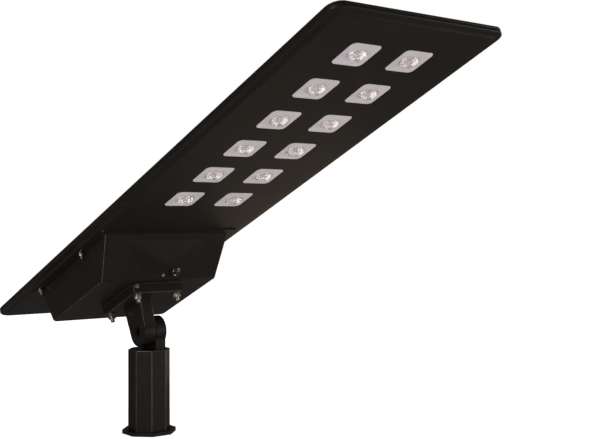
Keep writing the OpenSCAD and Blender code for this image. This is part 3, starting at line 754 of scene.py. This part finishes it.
def build_switch():
    outward = -Vector(next(j["axis"] for j in frame["joints"] if j["name"] == "power_press"))
    place, length = axis_matrix("switch_button", outward)
    mesh = bmesh.new()
    profile = [(3.2, 0), (4, 0.6 * MM), (4, length - 0.9 * MM), (3.8, length - 0.35 * MM),
               (3.3, length - 0.08 * MM), (2.2, length), (1.1, length - 0.1 * MM)]
    lathe(mesh, [(r * MM, z) for r, z in profile], 40)
    ob = make_piece("domed_button", mesh, [DARK_CHROME], place)
    stand_for(ob, "power_button", "bright_steel", "switch_button")

    place, length = axis_matrix("switch_body", outward)
    mesh = bmesh.new()
    rim, step = length, length - 2.5 * MM
    profile = [(6, 0), (6, step), (8.2, step), (9, step + 0.5 * MM), (9, rim - 1 * MM),
               (8.7, rim - 0.4 * MM), (8.1, rim - 0.05 * MM), (7.2, rim), (5.6, rim - 0.15 * MM),
               (4.7, rim - 0.6 * MM), (4.1, rim - 1.2 * MM), (4.05, rim - 8 * MM)]
    lathe(mesh, [(r * MM, z) for r, z in profile], 48)
    stand_for(make_piece("switch_bezel", mesh, [DARK_CHROME], place), "head", "bright_steel", "switch_body")

    place, length = axis_matrix("status_light", outward)
    mesh = bmesh.new()
    profile = [(1.6, 0), (2, 0.4 * MM), (2, length - 1.2 * MM), (3, length - 1.15 * MM),
               (3, length - 0.7 * MM), (2.5, length - 0.25 * MM), (1.2, length)]
    lathe(mesh, [(r * MM, z) for r, z in profile], 32)
    stand_for(make_piece("status_dome", mesh, [SMOKED], place), "head", "light_lens", "status_light")


# ---- Camera, light and floor

# The viewing direction, the camera's place from the head's tip in metres, and its lens in millimetres
VIEW_AZ = math.radians(-38.814)
VIEW_DOWN = math.radians(0.178)
CAMERA_FROM_TIP = Vector((-0.9837, -0.9594, -0.2580))
LENS_MM = 61.72


def build_camera():
    data = bpy.data.cameras.new("camera")
    data.sensor_width = 36
    data.lens = LENS_MM
    data.clip_end = 100
    ob = bpy.data.objects.new("camera", data)
    ob.location = HEAD.translation + CAMERA_FROM_TIP
    level = math.cos(VIEW_DOWN)
    look = Vector((-math.sin(VIEW_AZ) * level, math.cos(VIEW_AZ) * level, -math.sin(VIEW_DOWN)))
    ob.rotation_euler = look.to_track_quat("-Z", "Y").to_euler()
    bpy.context.scene.collection.objects.link(ob)
    bpy.context.scene.camera = ob


def area_light(name, place, target, size, power, color=(1, 1, 1)):
    data = bpy.data.lights.new(name, "AREA")
    data.shape = "DISK"
    data.size = size
    data.energy = power
    data.color = color
    ob = bpy.data.objects.new(name, data)
    ob.location = place
    ob.rotation_euler = (Vector(target) - Vector(place)).to_track_quat("-Z", "Y").to_euler()
    ob.visible_camera = False
    bpy.context.scene.collection.objects.link(ob)


def build_floor():
    mat, bsdf = shader("pale_floor", (0.86, 0.86, 0.86), 0.9, specular=0.0)
    cloud = noise(mat, 3, 3)
    join(mat, blend_colors(mat, cloud, (0.84, 0.84, 0.84), (0.88, 0.88, 0.88)), bsdf.inputs["Base Color"])
    bsdf.inputs["Emission Color"].default_value = (1, 1, 1, 1)
    bsdf.inputs["Emission Strength"].default_value = 0.96
    mesh = bmesh.new()
    half = 30
    z = cad_low[2] - 0.5 * MM
    corners = ((-half, -half), (half, -half), (half, half), (-half, half))
    mesh.faces.new([mesh.verts.new((x, y, z)) for x, y in corners])
    floor = make_piece("floor", mesh, [mat], Matrix())
    floor.visible_glossy = False


def build_world():
    """White behind the lamp, and a dim studio round it in reflections."""
    world = bpy.data.worlds.new("studio")
    world.use_nodes = True
    nodes, links = world.node_tree.nodes, world.node_tree.links
    path = nodes.new("ShaderNodeLightPath")
    level = nodes.new("ShaderNodeMapRange")
    level.inputs["To Min"].default_value = 0.09
    level.inputs["To Max"].default_value = 1.0
    links.new(path.outputs["Is Camera Ray"], level.inputs["Value"])
    links.new(level.outputs["Result"], nodes["Background"].inputs["Strength"])
    nodes["Background"].inputs["Color"].default_value = (1, 1, 1, 1)
    bpy.context.scene.world = world


build_camera()
build_world()
build_floor()
middle = Vector((0, -0.1, 0.4))
WARM = (1.0, 0.9, 0.8)
area_light("key", (-2.6, -1.6, 1.2), middle, 0.9, 40, WARM)
area_light("side", (2.4, -1.6, 0.5), middle, 1.2, 20, WARM)
area_light("top", (0.5, 1.0, 3.0), middle, 1.6, 35)
area_light("low_left", (-1.5, -2.3, 0.12), middle, 0.4, 9, WARM)
area_light("low_right", (1.7, -1.5, 0.1), middle, 0.4, 9, WARM)
area_light("glow", (0.75, 0.35, 0.02), (0.75, 0.35, 1.0), 0.6, 0.4, (1.0, 0.72, 0.5))

build_pan()
build_top_frame()
build_cells()
turns = lens_angles()
for lens_name in LENS_NODES:
    build_lens(lens_name, turns)
build_stud_set("bracket", 4 * MM, 1.25 * MM, 13 * MM, 8 * MM, 17)
build_stud_set("box", 2.5 * MM, 0.8 * MM, 8 * MM, 4.5 * MM, 23)
build_switch()
refine("battery_box", "head", "black_paint", 0.4 * MM, big=(1.6 * MM, 3e-3), folds=(1.1 * MM, 7e-4))
refine("tilt_bracket", "head", "black_paint", 0.6 * MM, big=(1.4 * MM, 1.2e-3))
refine("pole_sleeve", "sleeve", "black_paint", 0.5 * MM, big=(1.5 * MM, 1.5e-3))
for node_name in ("pivot_bolt", "set_screw_1", "set_screw_2", "set_screw_3", "set_screw_4"):
    rider = "sleeve" if node_name == "pivot_bolt" else node_name
    refine(node_name, rider, "dark_steel", 0.35 * MM, [BLACK_STEEL])
refine("pivot_nut", "sleeve", "bright_steel", 0.4 * MM, [ZINC])
refine("earth_screw", "head", "bright_steel", 0.5 * MM, [ZINC])

scene = bpy.context.scene
scene.view_settings.view_transform = "Standard"
